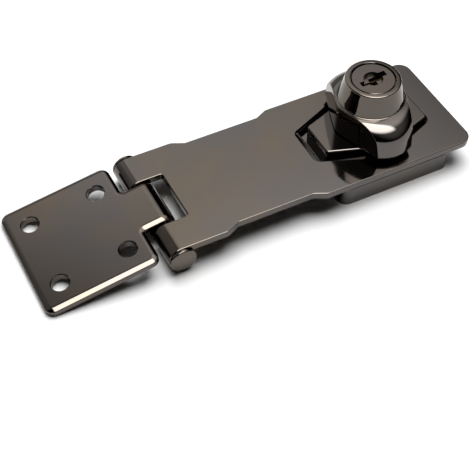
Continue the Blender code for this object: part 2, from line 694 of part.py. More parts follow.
def wafer_springs():
    """Small coils beside the wafers, lying along X."""
    across = WAFER_WIDTH / 2 + SLIDE_FIT + EAR_REACH / 2
    points_per_turn = 7
    total = SPRING_TURNS * points_per_turn
    for number in range(WAFER_COUNT):
        name = f"wafer_spring_{number + 1}"
        curve = bpy.data.curves.new(name, "CURVE")
        curve.dimensions = "3D"
        curve.bevel_depth = SPRING_WIRE
        curve.bevel_resolution = 1
        curve.use_fill_caps = True
        spline = curve.splines.new("POLY")
        spline.points.add(total)
        start = SPRING_START + SPRING_WIRE
        run = SPRING_LENGTH - 2 * SPRING_WIRE
        for step, point in enumerate(spline.points):
            turn = 2 * math.pi * step / points_per_turn
            point.co = (start + run * step / total, across + SPRING_RADIUS * math.cos(turn),
                        wafer_height(number) + SPRING_RADIUS * math.sin(turn), 1)
        curve.materials.append(metal(name, STEEL, 0.3))
        place(bpy.data.objects.new(name, curve), PARTS)


def drive_crank():
    """Disc on the plug's square, with an off-centre pin that moves the bolt."""
    disc = rod(CRANK_RADIUS, CRANK_BOTTOM, CRANK_TOP)
    obj = turned_part("drive_crank", disc, colour=STEEL, roughness=0.3)
    half = DRIVE_SQUARE / 2 + GAP
    socket = block_cutter("crank_socket", (-half, -half, DRIVE_FOOT - GAP), (half, half, CRANK_TOP + GAP))
    boolean(obj, socket)
    neck = rod(PLUG_NECK_RADIUS + GAP, PLUG_FOOT - PLUG_NECK - GAP, CRANK_TOP + GAP)
    boolean(obj, turned("crank_relief", neck, SMALL_STEPS))
    pin = rod(CRANK_PIN_RADIUS, BOLT_TOP - BOLT_BITE, CRANK_BOTTOM + CRANK_SOCKET_FLOOR / 2)
    boolean(obj, turned("crank_pin", pin, SMALL_STEPS, (-CRANK_SIDE, -CRANK_SIDE, 0)), "UNION")


def locking_bolt():
    """Sliding bolt, notched from the side for the crank pin."""
    side = BOLT_WIDTH / 2
    mesh = block_mesh("locking_bolt", (-BOLT_TAIL, -side, BOLT_BOTTOM), (BOLT_REACH, side, BOLT_TOP))
    obj = part("locking_bolt", mesh, STEEL, 0.25)
    half = CRANK_PIN_RADIUS + SLIDE_FIT
    low = (-CRANK_SIDE - half, -BOLT_WIDTH, BOLT_TOP - BOLT_BITE - SLIDE_FIT)
    high = (-CRANK_SIDE + half, -CRANK_SIDE + half, BOLT_TOP + SLIDE_FIT)
    boolean(obj, block_cutter("crank_notch", low, high))


def bolt_guide():
    """Insert in the stem that guides the bolt and takes the retaining screw."""
    insert = rod(STEM_BORE - GAP, GUIDE_BOTTOM, BOLT_TOP)
    obj = turned_part("bolt_guide", insert, colour=CAST_ZINC, roughness=0.35)
    side = BOLT_WIDTH / 2 + SLIDE_FIT
    slot = block_cutter("guide_slot", (-STEM_RADIUS, -side, GUIDE_SLOT), (STEM_RADIUS, side, KNOB_BOTTOM))
    boolean(obj, slot)
    thread = rod(SCREW_SHANK_RADIUS + GAP, 0, STOP_BOTTOM + SCREW_SHANK_LENGTH + GAP)
    boolean(obj, turned("guide_thread", thread, SMALL_STEPS))


def stop_washer():
    """Washer keyed to the stem's flats; its lug meets the base's posts."""
    lug = [Vector((LUG_REACH * math.cos(angle), LUG_REACH * math.sin(angle)))
           for angle in (-LUG_HALF_ANGLE, 0, LUG_HALF_ANGLE)]
    body_turn = 2 * math.pi - 2 * LUG_HALF_ANGLE
    body = [Vector((STOP_RADIUS * math.cos(LUG_HALF_ANGLE + body_turn * step / TURN_STEPS),
                    STOP_RADIUS * math.sin(LUG_HALF_ANGLE + body_turn * step / TURN_STEPS)))
            for step in range(TURN_STEPS + 1)]
    bm = flat_mesh("stop_washer", lug + body, STOP_BOTTOM, STOP_TOP)
    bmesh.ops.rotate(bm, verts=bm.verts, cent=(0, 0, 0), matrix=Matrix.Rotation(LUG_DIRECTION, 3, "Z"))
    obj = part("stop_washer", to_mesh("stop_washer", bm), STEEL, 0.3)
    hole = turned("washer_hole", rod(SPIGOT_RADIUS + GAP, 0, STOP_TOP + GAP))
    flats = block_cutter("washer_flats", (-STEM_RADIUS, -SPIGOT_FLAT / 2 - GAP, -GAP),
                         (STEM_RADIUS, SPIGOT_FLAT / 2 + GAP, STOP_TOP + 2 * GAP))
    boolean(hole, flats, "INTERSECT")
    boolean(obj, hole)


def spring_washer():
    """Conical washer that holds the knob down and gives its turn some drag."""
    inside = STEM_RADIUS + GAP
    outside = inside + SPRING_RIM
    low = STOP_TOP + GAP
    high = ROOF_UNDER - GAP
    profile = [(inside, high), (inside + SPRING_SHEET / 2, high), (outside, low + SPRING_SHEET),
               (outside, low), (outside - SPRING_SHEET / 2, low), (inside, high - SPRING_SHEET),
               (inside, high)]
    turned_part("spring_washer", profile, colour=STEEL, roughness=0.3)


def retaining_screw():
    tip = STOP_BOTTOM + SCREW_SHANK_LENGTH
    top = STOP_BOTTOM - GAP
    foot = top - SCREW_HEAD_HEIGHT
    profile = [(0, tip), (SCREW_SHANK_RADIUS, tip), (SCREW_SHANK_RADIUS, top), (SCREW_HEAD_RADIUS, top),
               (SCREW_HEAD_RADIUS, top - SCREW_HEAD_HEIGHT / 2),
               (SCREW_HEAD_RADIUS - SCREW_HEAD_HEIGHT / 2, foot), (0, foot)]
    obj = turned_part("retaining_screw", profile, colour=STEEL, roughness=0.3)
    for number, (x, y) in enumerate(((SCREW_SHANK_RADIUS * 2, GAP * 2), (GAP * 2, SCREW_SHANK_RADIUS * 2))):
        slot = block_cutter(f"driver_slot_{number}", (-x, -y, 0), (x, y, foot + SCREW_HEAD_HEIGHT / 2))
        boolean(obj, slot)


def build():
    lock_base()
    hasp_arm()
    hinge_leaf()
    hinge_pin()
    knob_housing()
    key_plug()
    wafers()
    wafer_springs()
    drive_crank()
    locking_bolt()
    bolt_guide()
    stop_washer()
    spring_washer()
    retaining_screw()


build()
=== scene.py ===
"""Keyed hasp lock in black nickel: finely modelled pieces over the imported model.

Metres, +Z up. X runs along the arm, from the hinge at -X to the lock at +X.
Each piece is made at the origin and then moved to its place.
"""

import math

import bmesh
import bpy
from mathutils import Matrix, Vector


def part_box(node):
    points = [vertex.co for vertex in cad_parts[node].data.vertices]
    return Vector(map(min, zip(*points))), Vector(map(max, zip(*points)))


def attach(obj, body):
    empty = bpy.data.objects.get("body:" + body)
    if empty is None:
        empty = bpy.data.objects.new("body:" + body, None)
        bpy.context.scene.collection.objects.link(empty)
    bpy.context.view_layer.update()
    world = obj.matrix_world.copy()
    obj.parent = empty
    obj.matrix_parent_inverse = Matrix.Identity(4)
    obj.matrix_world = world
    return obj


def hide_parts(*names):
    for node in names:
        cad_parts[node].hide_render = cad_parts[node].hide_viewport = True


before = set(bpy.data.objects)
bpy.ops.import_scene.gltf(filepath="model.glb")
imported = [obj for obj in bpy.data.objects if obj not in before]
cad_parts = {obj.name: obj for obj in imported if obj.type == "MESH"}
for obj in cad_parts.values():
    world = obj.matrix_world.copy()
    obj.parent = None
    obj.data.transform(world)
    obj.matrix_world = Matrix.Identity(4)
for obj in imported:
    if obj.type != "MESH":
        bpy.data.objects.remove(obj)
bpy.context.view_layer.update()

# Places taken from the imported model
ARM_LOW, ARM_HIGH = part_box("hasp_arm")
LEAF_LOW, LEAF_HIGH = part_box("hinge_leaf")
PIN_LOW, PIN_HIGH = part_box("hinge_pin")
BASE_LOW, BASE_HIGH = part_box("lock_base")
KNOB_LOW, KNOB_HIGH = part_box("knob_housing")
PLUG_LOW, PLUG_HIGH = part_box("key_plug")
BOLT_LOW, BOLT_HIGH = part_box("locking_bolt")
PIN_AXIS = (PIN_LOW + PIN_HIGH) / 2
KNOB_AXIS = (KNOB_LOW + KNOB_HIGH) / 2

# Working values
TINY = 1e-6
PAST = 0.001                # the plug's cutters reach this far above its face
ARC_STEP = math.radians(9)
ARC_SHARE = 0.49            # a rounded corner takes no more than this share of a side
ROLL_STEPS = 40
SHARP_ANGLE = math.radians(40)

# Hasp arm
SHEET = 0.0025
ARM_WIDTH = ARM_HIGH.y - ARM_LOW.y
ARM_WAIST = 0.0371
ARM_CORNER = 0.004
HINGE_PLATE = 0.0155
LOCK_PLATE = 0.0536
STEP_RUN = 0.0042
STEP_ROUND = 0.0020
SHEET_EDGE = 0.00035
SHEET_TOP_STEPS = 3
SHEET_UNDER_STEPS = 2
ROLL_INSIDE = 0.0019
ROLL_WRAP = math.radians(252)
WINDOW_REACH = 0.0074
WINDOW_WIDTH = 0.0188
WINDOW_CORNER = 0.0008
OPENING_SHIFT = 0.0017
OPENING_LENGTH = 0.0422
OPENING_END = 0.0140
OPENING_ROUND = 0.0024
OPENING_SLOPE = math.radians(21.5)
WAIST_ROUND = 0.0060

# Hinge leaf
LEAF_WIDTH = LEAF_HIGH.y - LEAF_LOW.y
LEAF_SHIFT = (LEAF_HIGH.y + LEAF_LOW.y) / 2
LEAF_NEAR = 0.0062
LEAF_FAR = 0.0428
LEAF_CORNER = 0.0028
LEAF_EDGE = 0.0005
LEAF_SHOULDER = 0.0030
LEAF_SHOULDER_START = math.radians(52)
LEAF_SHOULDER_END = math.radians(86)
LEAF_EDGE_STEPS = 6
TONGUE_WIDTH = 0.0170
NECK_ROUND = 0.0010
LEAF_HOLE = 0.0057
LEAF_HOLE_RIM = 0.00025
LEAF_HOLE_NEAR = 0.0131
LEAF_HOLE_PITCH = 0.0222
LEAF_HOLE_ACROSS = 0.0248
LEAF_HOLE_STEPS = 48

# Hinge pin
PIN_RADIUS = 0.0016
PIN_HEAD_HEIGHT = 0.0014
PIN_HEAD_EDGE = 0.0006
PIN_DOME_STEPS = 12
PIN_STEPS = 64

# Lock base
BASE_HEIGHT = 0.0068
BASE_CORNER = 0.0035
BASE_EDGE = 0.0005
BASE_EDGE_STEPS = 4
BASE_WALL = 0.0022
BASE_ROOF = 0.0022
BOSS_LENGTH = 0.0372
BOSS_END = 0.0126
BOSS_ROUND = 0.0012
BOSS_EDGE = 0.0005
BOSS_EDGE_STEPS = 4
BOSS_SLOPE = math.radians(18.5)
STEM_BORE = 0.0073
STEM_BORE_FOOT = 0.001
STEM_BORE_STEPS = 64
SCREW_HOLE = 0.0046
SCREW_SINK = 0.0084
SCREW_SINK_DEPTH = 0.0018
SCREW_INSET = 0.0048
SCREW_POST = 0.0080
POST_CLEAR = 0.0003         # the posts end this far above the base's foot
POST_STEPS = 32

# Knob housing
KNOB_BOTTOM = 0.0116
KNOB_REACH = (KNOB_HIGH.y - KNOB_LOW.y) / 2
KNOB_WAIST = 0.0121
KNOB_SLOPE = math.radians(20)
KNOB_WAIST_SOFTNESS = 0.10
KNOB_END_ROUND = 0.0106
KNOB_LEAN = math.radians(9.3)
KNOB_LIP = 0.0006
KNOB_EASE = 0.0003
RIM_EASE = 0.0001
HEAD_RADIUS = 0.00885
HEAD_FOOT_RADIUS = 0.0106
HEAD_FILLET = 0.0004
HEAD_RIM = 0.0005
ROOF = 0.0222
FLANK_EDGE = 0.00045
SHOULDER_RADIUS = 0.0071
STEM_RADIUS = 0.0070
STEM_INSIDE = 0.0053
CHAMBER_RADIUS = 0.00635
CHAMBER_FLOOR = KNOB_BOTTOM + 0.0035
FACE_SEAT = 0.0005          # the bore's ledge lies this far below the foot of the plug's face
KNOB_STEPS = 720

# Steps along each stretch of the knob's section
RIM_STEPS = 5
CONE_STEPS = 5
CREASE_STEPS = 6
SHOULDER_ARC_STEPS = 24
LEAN_STEPS = 4
SHOULDER_POINTS = 28
FLANK_EDGE_STEPS = 5
WALL_STEPS = 5

# Key plug
PLUG_RADIUS = 0.0060
PLUG_LENGTH = 0.0143
PLUG_NECK_RADIUS = 0.0027
FACE_RADIUS = 0.00685
FACE_BORE = 0.00725
FACE_HEIGHT = 0.0015
FACE_EASE = 0.0002
FACE_SHARP_ANGLE = math.radians(30)
KEYWAY_LENGTH = 0.0098
KEYWAY_WIDTH = 0.0020
KEYWAY_OFFSET = 0.00070
KEYWAY_DEPTH = 0.0130
RECESS_RADIUS = 0.0030
RECESS_DEPTH = 0.0014
RECESS_RIM = 0.0003
RECESS_STEPS = 48
PLUG_STEPS = 96

# Room for the inner works
SLIDE_FIT = 0.0003
WAFER_REACH = 0.0065
WAFER_SIDE = 0.00205
WAFER_ROOM = 0.0128
POCKET_START = -0.0027
POCKET_END = 0.0033
BOLT_NOTCH = 0.0088

# Photograph's viewpoint; pixels are those of its square frame
FRAME_PIXELS = 470
FOCAL_PIXELS = 1167.8
CENTRE_PIXEL_X = 195.61
CENTRE_PIXEL_Y = 195.375
SENSOR_MM = 36
CLIP_NEAR = 0.01
CLIP_FAR = 10
VIEW_AZIMUTH = -0.456
VIEW_ELEVATION = 0.839
VIEWPOINT = Vector((KNOB_AXIS.x - 0.16788, -0.21712, 0.27479))

# Soft panels: azimuth, elevation, full within, dark beyond, all in degrees, and strength
PANELS = (
    (20, 49, 0, 24, 1.45),      # behind
    (77, 67, 10, 33, 2.02),     # high on the right
    (-6, 17, 31, 37, 0.44),     # wide and low, behind
    (150, 50, 10, 52, 0.35),    # wide, on the front right
    (315, 33, 15, 40, 0.33),    # behind on the left
)

# Front light: azimuth and elevation in degrees, cosines at dark and at full, and strength
FRONT_TOWARDS = (240, 20)
FRONT_DARK = 0.06
FRONT_FULL = 0.20
FRONT_STRENGTH = 10

# Its trimmed sides: direction, cosine at dark, cosine at full
FRONT_TRIMS = (
    ((0, 0, 1), 0.62, 0.84),        # below
    ((0, -1, 0), -0.25, -0.10),     # behind
    ((1, 0, 0), -0.42, -0.28),      # on the far left
)
LIGHT_WHITE = (1, 0.985, 0.96, 1)
FLOOR_WHITE = 0.93
FLOOR_HALF = 3
LAMP_PLACE = (0.25, 0.34, 1.15)
LAMP_SIZE = 1.2
LAMP_POWER = 27


def leaf_tilt():
    """Angle at which the leaf's outer edge comes to lie on the floor."""
    return math.asin(PIN_AXIS.z / math.hypot(LEAF_FAR, ROLL_INSIDE)) + math.atan2(ROLL_INSIDE, LEAF_FAR)


# Outlines and profiles

def corner_spokes(corner, before, after, radius):
    """Centre of the arc that rounds a corner between two directions, and the spokes to its ends."""
    half = before.angle(after) / 2
    middle = (before.normalized() + after.normalized()).normalized()
    centre = corner + middle * radius / math.sin(half)
    start = corner + before.normalized() * radius / math.tan(half) - centre
    finish = corner + after.normalized() * radius / math.tan(half) - centre
    return centre, start, finish


def swept(centre, spoke, sweep, steps):
    """Points of the arc that a spoke sweeps."""
    return [centre + Matrix.Rotation(-sweep * step / steps, 2) @ spoke for step in range(steps + 1)]


def rounded(corners):
    """Points of an outline whose corners (x, y, radius) are rounded with arcs; radius 0 keeps a corner."""
    points = []
    for index, (x, y, radius) in enumerate(corners):
        corner = Vector((x, y))
        if radius <= 0:
            points.append(corner)
            continue
        before = Vector(corners[index - 1][:2]) - corner
        after = Vector(corners[(index + 1) % len(corners)][:2]) - corner
        half = before.angle(after) / 2
        radius = min(radius, math.tan(half) * ARC_SHARE * min(before.length, after.length))
        centre, start, finish = corner_spokes(corner, before, after, radius)
        sweep = start.angle_signed(finish)
        steps = max(2, math.ceil(abs(sweep) / ARC_STEP))
        points += swept(centre, start, sweep, steps)
    return points


def bend(start, corner, finish, radius, steps):
    """Arc of this radius that rounds a corner of a profile."""
    corner = Vector(corner)
    centre, first, last = corner_spokes(corner, Vector(start) - corner, Vector(finish) - corner, radius)
    return swept(centre, first, first.angle_signed(last), steps)


def arc(centre, radius, start, finish, steps):
    """Profile points on an arc, its angles in degrees from +radius towards +height."""
    turns = [math.radians(start + (finish - start) * step / steps) for step in range(steps + 1)]
    return [(centre[0] + radius * math.cos(turn), centre[1] + radius * math.sin(turn)) for turn in turns]


def evenly(points, count):
    """This many points, evenly spaced along a polyline."""
    lengths = [0]
    for first, second in zip(points, points[1:]):
        lengths.append(lengths[-1] + (second - first).length)
    spaced = []
    index = 0
    for step in range(count):
        wanted = lengths[-1] * step / (count - 1)
        while index < len(points) - 2 and lengths[index + 1] < wanted:
            index += 1
        share = (wanted - lengths[index]) / (lengths[index + 1] - lengths[index])
        spaced.append(points[index].lerp(points[index + 1], min(1, share)))
    return spaced


def cut_at(points, radius):
    """The part of a profile that lies within this radius."""
    kept = []
    for first, second in zip(points, points[1:]):
        kept.append(first)
        if second.x > radius:
            kept.append(first.lerp(second, (radius - first.x) / (second.x - first.x)))
            return kept
    return [*kept, points[-1]]


# Meshes

def face_outwards(bm, merge=False):
    """Points the faces outwards, after its doubles are merged if asked."""
    if merge:
        bmesh.ops.remove_doubles(bm, verts=bm.verts, dist=TINY)
    bmesh.ops.recalc_face_normals(bm, faces=bm.faces)


def plate(outline, low, high):
    """A flat plate of this outline, or half of one, whose outline then closes along y = 0."""
    bm = bmesh.new()
    face = bm.faces.new([bm.verts.new((point[0], point[1], low)) for point in outline])
    raised = bmesh.ops.extrude_face_region(bm, geom=[face])["geom"]
    bmesh.ops.translate(bm, verts=[part for part in raised if isinstance(part, bmesh.types.BMVert)],
                        vec=(0, 0, high - low))
    face_outwards(bm)
    return bm


def ease(bm, height, width, segments, keep_end=False):
    """Rounds the rim at this height, leaving the cut along y = 0 and, if asked, the end at x = 0 open."""
    rim = []
    for edge in bm.edges:
        flat = all(abs(vert.co.z - height) < TINY for vert in edge.verts)
        on_cut = all(abs(vert.co.y) < TINY for vert in edge.verts)
        on_end = keep_end and all(abs(vert.co.x) < TINY for vert in edge.verts)
        if flat and not on_cut and not on_end:
            rim.append(edge)
    bmesh.ops.bevel(bm, geom=rim, offset=width, offset_type="OFFSET", segments=segments, profile=0.5,
                    affect="EDGES", clamp_overlap=True, material=-1)


def mirror_half(bm):
    """Completes a half plate across y = 0."""
    cut = [face for face in bm.faces if all(abs(vert.co.y) < TINY for vert in face.verts)]
    bmesh.ops.delete(bm, geom=cut, context="FACES")
    geometry = bm.verts[:] + bm.edges[:] + bm.faces[:]
    bmesh.ops.mirror(bm, geom=geometry, matrix=Matrix(), merge_dist=TINY, axis="Y")
    face_outwards(bm)


def roll_ends(bm, side):
    """Rolls the ends that lie at x = 0 round the pin's axis, which is ROLL_INSIDE below z = 0."""
    ends = [face for face in bm.faces if all(abs(vert.co.x) < TINY for vert in face.verts)]
    edges = {edge for face in ends for edge in face.edges}
    verts = {vert for face in ends for vert in face.verts}
    bmesh.ops.spin(bm, geom=[*ends, *edges, *verts], cent=(0, 0, -ROLL_INSIDE), axis=(0, 1, 0),
                   dvec=(0, 0, 0), angle=side * ROLL_WRAP, steps=ROLL_STEPS,
                   use_merge=False, use_duplicate=False)
    face_outwards(bm, merge=True)


def rings_between(bm, outlines):
    """Skins a stack of outlines (points, height), each an open chain, and closes lowest and highest."""
    chains = []
    for points, height in outlines:
        verts = [bm.verts.new((point[0], point[1], height)) for point in points]
        chains.append(([bm.edges.new(pair) for pair in zip(verts, verts[1:])], verts))
    for (lower, _), (upper, _) in zip(chains, chains[1:]):
        bmesh.ops.bridge_loops(bm, edges=lower + upper)
    for _, verts in (chains[0], chains[-1]):
        bm.faces.new(verts)
    face_outwards(bm)


def turn_round(bm, verts, steps):
    """Turns a chain of points once round Z."""
    edges = [bm.edges.new(pair) for pair in zip(verts, verts[1:])]
    bmesh.ops.spin(bm, geom=verts + edges, cent=(0, 0, 0), axis=(0, 0, 1), dvec=(0, 0, 0),
                   angle=2 * math.pi, steps=steps, use_merge=True, use_duplicate=False)


def turned(profile, steps):
    """A closed turned shape about Z from its (radius, height) profile."""
    bm = bmesh.new()
    turn_round(bm, [bm.verts.new((radius, 0, height)) for radius, height in profile], steps)
    face_outwards(bm, merge=True)
    return bm


def block(low, high):
    """A box between two corners."""
    bm = bmesh.new()
    bmesh.ops.create_cube(bm, size=1)
    bmesh.ops.scale(bm, verts=bm.verts, vec=Vector(high) - Vector(low))
    bmesh.ops.translate(bm, verts=bm.verts, vec=(Vector(high) + Vector(low)) / 2)
    return bm


def move(bm, place):
    """The same mesh at another place."""
    bmesh.ops.translate(bm, verts=bm.verts, vec=place)
    return bm


def mesh_object(name, bm):
    """Object made from bm, which is dropped."""
    mesh = bpy.data.meshes.new(name)
    bm.to_mesh(mesh)
    bm.free()
    obj = bpy.data.objects.new(name, mesh)
    bpy.context.scene.collection.objects.link(obj)
    return obj


def combine(obj, bm, operation="DIFFERENCE"):
    """Cuts bm out of obj, or joins it on, and drops it."""
    tool = mesh_object("tool", bm)
    modifier = obj.modifiers.new("cut", "BOOLEAN")
    modifier.operation = operation
    modifier.solver = "EXACT"
    modifier.object = tool
    bpy.context.view_layer.update()
    made = bpy.data.meshes.new_from_object(obj.evaluated_get(bpy.context.evaluated_depsgraph_get()))
    obj.modifiers.remove(modifier)
    used = obj.data
    obj.data = made
    bpy.data.meshes.remove(used)
    bpy.data.objects.remove(tool)


def finish_piece(obj, body, material, *nodes, sharp=SHARP_ANGLE):
    """Smooth shading with true flats, a material, and the CAD nodes that the piece stands for."""
    obj.data.shade_smooth()
    obj.data.set_sharp_from_angle(angle=sharp)
    flats = obj.modifiers.new("flats", "WEIGHTED_NORMAL")
    flats.keep_sharp = True
    flats.weight = 100
    obj.data.materials.clear()
    obj.data.materials.append(material)
    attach(obj, body)
    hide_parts(*nodes)


# Finishes

CLOUD_NOISE = (45, 3)       # scale and detail, as for the next two
HAZE_NOISE = (160, 5)
GRAIN_NOISE = (350, 2)
CLOUD_RANGE = (0.35, 0.65)
HAZE_RANGE = (0.3, 0.7)
TINT = 0.10                 # how far the plating leans to warm and cool
RUBBED_LIGHTER = 1.5
RUBBED_SHARE = 0.15
RUBBED_WIDTH = 0.0003
RUBBED_COSINES = (0.99, 0.90)
RUBBED_SAMPLES = 4


def metal(name, colour, roughness, haze, grain):
    """Bare or plated metal: cloudy colour, uneven gloss, a fine grain and lighter, rubbed edges."""
    material = bpy.data.materials.new(name)
    material.use_nodes = True
    nodes = material.node_tree.nodes
    links = material.node_tree.links
    shader = nodes["Principled BSDF"]
    shader.inputs["Metallic"].default_value = 1
    place = nodes.new("ShaderNodeTexCoord").outputs["Object"]

    def noise(scale, detail):
        pattern = nodes.new("ShaderNodeTexNoise")
        pattern.inputs["Scale"].default_value = scale
        pattern.inputs["Detail"].default_value = detail
        links.new(place, pattern.inputs["Vector"])
        return pattern.outputs["Fac"]

    def ranged(value, low, high, start, finish):
        spread = nodes.new("ShaderNodeMapRange")
        spread.inputs["From Min"].default_value = low
        spread.inputs["From Max"].default_value = high
        spread.inputs["To Min"].default_value = start
        spread.inputs["To Max"].default_value = finish
        links.new(value, spread.inputs["Value"])
        return spread.outputs["Result"]

    def mixed(share, first, second):
        blend = nodes.new("ShaderNodeMix")
        blend.data_type = "RGBA"
        links.new(share, blend.inputs["Factor"])
        for socket, shade in ((blend.inputs["A"], first), (blend.inputs["B"], second)):
            if isinstance(shade, tuple):
                socket.default_value = (*shade, 1)
            else:
                links.new(shade, socket)
        return blend.outputs["Result"]

    red, green, blue = colour
    warm = (red * (1 + TINT), green, blue * (1 - TINT))
    cool = (red * (1 - TINT / 2), green * (1 - TINT / 2), blue)
    cloudy = mixed(ranged(noise(*CLOUD_NOISE), *CLOUD_RANGE, 0, 1), warm, cool)
    light = tuple(min(1, channel * RUBBED_LIGHTER) for channel in colour)

    edge = nodes.new("ShaderNodeBevel")
    edge.samples = RUBBED_SAMPLES
    edge.inputs["Radius"].default_value = RUBBED_WIDTH
    turn = nodes.new("ShaderNodeVectorMath")
    turn.operation = "DOT_PRODUCT"
    links.new(edge.outputs["Normal"], turn.inputs[0])
    links.new(nodes.new("ShaderNodeNewGeometry").outputs["Normal"], turn.inputs[1])
    rubbed = ranged(turn.outputs["Value"], *RUBBED_COSINES, 0, RUBBED_SHARE)
    links.new(mixed(rubbed, cloudy, light), shader.inputs["Base Color"])

    gloss = ranged(noise(*HAZE_NOISE), *HAZE_RANGE, roughness - haze, roughness + haze)
    links.new(gloss, shader.inputs["Roughness"])
    relief = nodes.new("ShaderNodeBump")
    relief.inputs["Strength"].default_value = 1
    relief.inputs["Distance"].default_value = grain
    links.new(noise(*GRAIN_NOISE), relief.inputs["Height"])
    links.new(relief.outputs["Normal"], shader.inputs["Normal"])
    return material


SHEET_NICKEL = metal("black_nickel_sheet", (0.106, 0.098, 0.090), 0.09, 0.03, 1.5e-6)
CAST_NICKEL = metal("black_nickel_casting", (0.104, 0.097, 0.090), 0.07, 0.02, 2e-6)
FACE_NICKEL = metal("satin_nickel_face", (0.112, 0.104, 0.098), 0.22, 0.04, 2e-6)
BRASS = metal("stamped_brass", (0.24, 0.17, 0.08), 0.38, 0.05, 2e-6)
STEEL = metal("bright_steel", (0.56, 0.56, 0.56), 0.25, 0.05, 2e-6)
ZINC = metal("cast_zinc", (0.50, 0.50, 0.49), 0.38, 0.05, 4e-6)


# Arm and hinge

def long_hex_half(length, end_width, slope, corner_round, waist_round):
    """Upper half of the outline shared by opening and boss, from +X to -X."""
    half = length / 2
    end = end_width / 2
    waist = end + half * math.tan(slope)
    return [(half, end, corner_round), (0, waist, waist_round), (-half, end, corner_round)]


def arm_outline():
    """The +Y half of the arm, with half of its opening and half of the hinge's window."""
    wide = ARM_WIDTH / 2
    waist = ARM_WAIST / 2
    far = ARM_HIGH.x - PIN_AXIS.x
    step = far - LOCK_PLATE
    middle = KNOB_AXIS.x - PIN_AXIS.x - OPENING_SHIFT
    hexagon = long_hex_half(OPENING_LENGTH, OPENING_END, OPENING_SLOPE, OPENING_ROUND, WAIST_ROUND)
    opening = [(x + middle, y, radius) for x, y, radius in reversed(hexagon)]
    return rounded([
        (far, 0, 0), (far, wide, ARM_CORNER), (step, wide, STEP_ROUND), (step - STEP_RUN, waist, STEP_ROUND),
        (HINGE_PLATE + STEP_RUN, waist, STEP_ROUND), (HINGE_PLATE, wide, STEP_ROUND), (0, wide, 0),
        (0, WINDOW_WIDTH / 2, 0), (WINDOW_REACH, WINDOW_WIDTH / 2, WINDOW_CORNER), (WINDOW_REACH, 0, 0),
        (middle - OPENING_LENGTH / 2, 0, 0), *opening, (middle + OPENING_LENGTH / 2, 0, 0),
    ])


def hasp_arm():
    """One sheet: waisted plate with a long opening, and two knuckles rolled round the pin."""
    bm = plate(arm_outline(), 0, SHEET)
    ease(bm, SHEET, SHEET_EDGE, SHEET_TOP_STEPS, keep_end=True)
    ease(bm, 0, SHEET_EDGE, SHEET_UNDER_STEPS, keep_end=True)
    mirror_half(bm)
    roll_ends(bm, -1)
    move(bm, (PIN_AXIS.x, 0, PIN_AXIS.z + ROLL_INSIDE))
    finish_piece(mesh_object("arm_sheet", bm), "base_and_arm", SHEET_NICKEL, "hasp_arm")


def leaf_outline(inset):
    """The +Y half of the leaf, drawn in by this much, from the rolled end to the outer edge."""
    wide = LEAF_WIDTH / 2 - inset
    tongue = TONGUE_WIDTH / 2 - inset
    near = -LEAF_NEAR - inset
    far = inset - LEAF_FAR
    corner = LEAF_CORNER - inset
    return rounded([(0, 0, 0), (0, tongue, 0), (near, tongue, NECK_ROUND + inset), (near, wide, corner),
                    (far, wide, corner), (far, 0, 0)])


def leaf_section():
    """Insets and heights across the leaf's edge: eased foot, wall, small rounding and wide shoulder."""
    foot = SHEET_EDGE / 2
    bends = [(LEAF_EDGE, 0, LEAF_SHOULDER_START), (LEAF_SHOULDER, LEAF_SHOULDER_START, LEAF_SHOULDER_END)]
    rise = sum(radius * (math.sin(last) - math.sin(first)) for radius, first, last in bends)
    section = [(foot, 0), (0, foot), (0, SHEET - rise)]
    for radius, first, last in bends:
        inset, height = section[-1]
        for step in range(1, LEAF_EDGE_STEPS + 1):
            turn = first + (last - first) * step / LEAF_EDGE_STEPS
            section.append((inset + radius * (math.cos(first) - math.cos(turn)),
                            height + radius * (math.sin(turn) - math.sin(first))))
    return section


def hinge_leaf():
    """One sheet with rounded upper edges, four holes and a tongue rolled round the pin."""
    bm = bmesh.new()
    rings_between(bm, [(leaf_outline(inset), height) for inset, height in leaf_section()])
    mirror_half(bm)
    roll_ends(bm, 1)
    obj = mesh_object("leaf_plate", bm)
    hole = LEAF_HOLE / 2
    rim = LEAF_HOLE_RIM
    punch = [(0, SHEET + rim), (hole + 2 * rim, SHEET + rim), (hole, SHEET - rim), (hole, -SHEET),
             (0, -SHEET)]
    for column in range(2):
        for row in (-1, 1):
            place = (-LEAF_HOLE_NEAR - column * LEAF_HOLE_PITCH, row * LEAF_HOLE_ACROSS / 2, 0)
            combine(obj, move(turned(punch, LEAF_HOLE_STEPS), place))
    seat = Matrix.Translation((PIN_AXIS.x, LEAF_SHIFT, PIN_AXIS.z)) @ Matrix.Rotation(-leaf_tilt(), 4, "Y")
    obj.data.transform(seat @ Matrix.Translation((0, 0, ROLL_INSIDE)))
    finish_piece(obj, "leaf", SHEET_NICKEL, "hinge_leaf")


def hinge_pin():
    """Riveted pin with low domed heads."""
    radius = (PIN_HIGH.x - PIN_LOW.x) / 2
    shank = PIN_HIGH.y - PIN_HEAD_HEIGHT
    dome = PIN_HEAD_HEIGHT - PIN_HEAD_EDGE
    turns = [math.pi / 2 * step / PIN_DOME_STEPS for step in range(PIN_DOME_STEPS + 1)]
    crown = [(radius * math.sin(turn), shank + PIN_HEAD_EDGE + dome * math.cos(turn)) for turn in turns]
    half = crown + [(radius, shank), (PIN_RADIUS, shank)]
    bm = turned(half + [(across, -along) for across, along in reversed(half)], PIN_STEPS)
    bmesh.ops.rotate(bm, verts=bm.verts, cent=(0, 0, 0), matrix=Matrix.Rotation(math.radians(90), 3, "X"))
    move(bm, (PIN_AXIS.x, 0, PIN_AXIS.z))
    finish_piece(mesh_object("rivet_pin", bm), "base_and_arm", SHEET_NICKEL, "hinge_pin")


# Base

